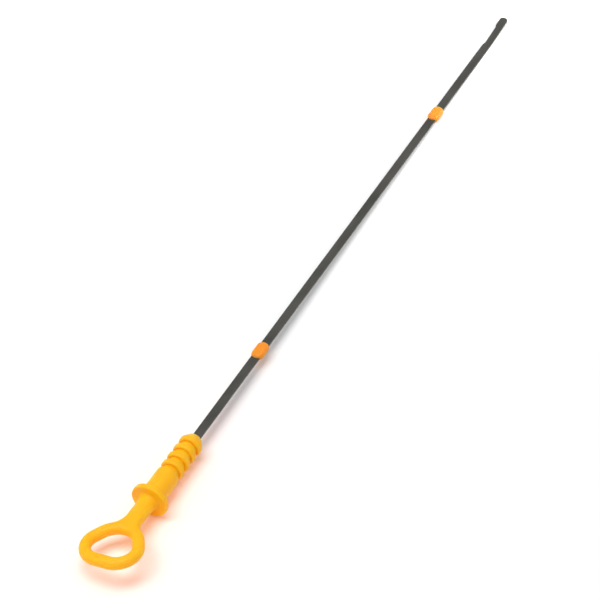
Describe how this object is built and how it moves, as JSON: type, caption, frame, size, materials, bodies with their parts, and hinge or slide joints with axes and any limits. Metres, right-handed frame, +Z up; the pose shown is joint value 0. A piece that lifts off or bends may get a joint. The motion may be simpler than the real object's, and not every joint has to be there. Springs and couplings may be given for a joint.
{
  "type": "engine oil dipstick",
  "caption": "Engine oil dipstick with a finger loop handle, ribbed stopper and a long notched steel blade carrying small guide beads.",
  "frame": {"origin": "middle of the flange's seat, on the stopper's axis, where the stick enters its tube", "axes": "+X along the lying stick towards the blade's tip, +Z up from the surface that it lies on, +Y to the side of the blade's notch"},
  "size_m": [0.5631, 0.0382, 0.0231],
  "materials": {
    "handle_plastic": "satin moulded",
    "blade_steel": "dull dark grey strip",
    "bead_plastic": "satin moulded"
  },
  "bodies": {
    "root": {"handle": "handle_plastic", "blade": "blade_steel", "upper_guide_bead": "bead_plastic", "lower_guide_bead": "bead_plastic"}
  },
  "joints": []
}
